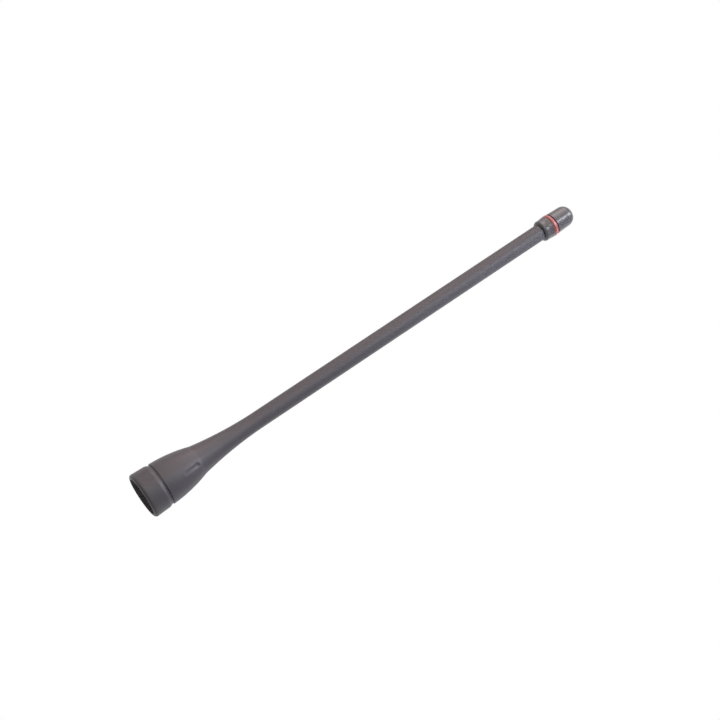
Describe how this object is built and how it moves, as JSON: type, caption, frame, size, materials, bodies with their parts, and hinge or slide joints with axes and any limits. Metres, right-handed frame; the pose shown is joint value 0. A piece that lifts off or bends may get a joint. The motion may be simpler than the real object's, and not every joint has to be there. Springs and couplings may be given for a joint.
{
  "type": "uhf handheld radio antenna",
  "caption": "Covered quarter-wave whip antenna with a skirted base around a threaded stud, a flared grip and a capped tip with a colour ring.",
  "frame": {"origin": "centre of the skirt's rim, on the plane that the antenna stands on", "axes": "+Z along the antenna's axis, from the mouth of the skirt to the tip; a corner of the stud's hexagonal flange points to +X"},
  "size_m": [0.0152, 0.0152, 0.175],
  "materials": {
    "base_plastic": "fine matt moulding",
    "plated_contact": "bright nickel plate over brass",
    "whip_cable": "stranded, plain",
    "ferrule_metal": "plain crimped",
    "sheath_rubber": "soft satin moulding",
    "cap_plastic": "glossy moulding",
    "ring_red": "glossy"
  },
  "bodies": {
    "root": {"base_cup": "base_plastic", "contact_stud": "plated_contact", "radiator": "whip_cable", "cable_end_ferrule": "ferrule_metal", "sheath": "sheath_rubber", "tip_cap": "cap_plastic", "colour_ring": "ring_red"}
  },
  "joints": []
}
